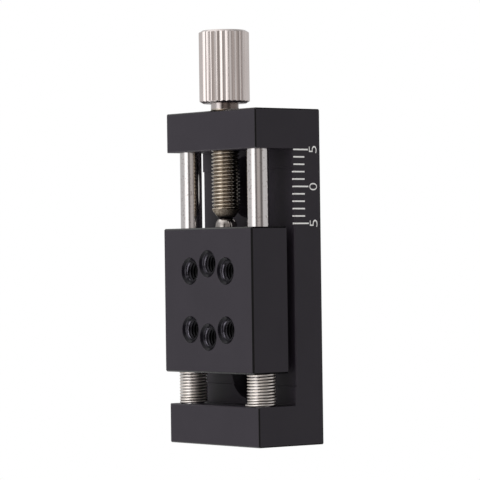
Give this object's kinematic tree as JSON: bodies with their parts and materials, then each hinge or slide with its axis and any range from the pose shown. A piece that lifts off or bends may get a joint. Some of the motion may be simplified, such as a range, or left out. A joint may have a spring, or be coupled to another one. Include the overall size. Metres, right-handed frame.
{
  "type": "linear translation stage",
  "caption": "Miniature manual translation stage: a C-shaped frame with guide rods, a tapped carriage, return springs, and a knurled fine screw pushing the carriage through a ball.",
  "frame": {"origin": "midway between the two mounting holes, on the back mounting face of the frame", "axes": "+Z along the travel, from the springs to the knob; +Y out of the back mounting face, so the payload face looks along -Y; +X towards the side with the scale"},
  "size_m": [0.02, 0.012, 0.0566],
  "materials": {
    "black_anodised": "black anodised, satin",
    "ground_steel": "ground and polished",
    "spring_steel": "bright drawn wire",
    "blackened_steel": "black oxide",
    "screw_steel": "rolled thread, slightly straw-coloured",
    "ball_steel": "polished bearing ball",
    "knob_stainless": "turned stainless, straight knurl"
  },
  "bodies": {
    "frame": {"base_frame": "black_anodised", "guide_rod_left": "ground_steel", "guide_rod_right": "ground_steel", "return_spring_left": "spring_steel", "return_spring_right": "spring_steel", "rod_grub_screw_top_left": "blackened_steel", "rod_grub_screw_top_right": "blackened_steel", "rod_grub_screw_bottom_left": "blackened_steel", "rod_grub_screw_bottom_right": "blackened_steel"},
    "carriage": {"carriage": "black_anodised", "thrust_ball": "ball_steel"},
    "screw": {"adjusting_screw": "screw_steel", "knob": "knob_stainless"}
  },
  "joints": [
    {"name": "carriage_travel", "type": "slide", "parent": "frame", "child": "carriage", "axis": [0, 0, 1], "range_m": [-0.001, 0.0105], "deforming": ["return_spring_left", "return_spring_right"]},
    {"name": "screw_turn", "type": "hinge", "parent": "carriage", "child": "screw", "pos_m": [0, -0.0086, 0.02], "axis": [0, 0, 1], "range_deg": [-720.5, 7560.5]}
  ],
  "couplings": [
    {"joint": "screw_turn", "follows": "carriage_travel", "rad_per_m": 12566}
  ]
}
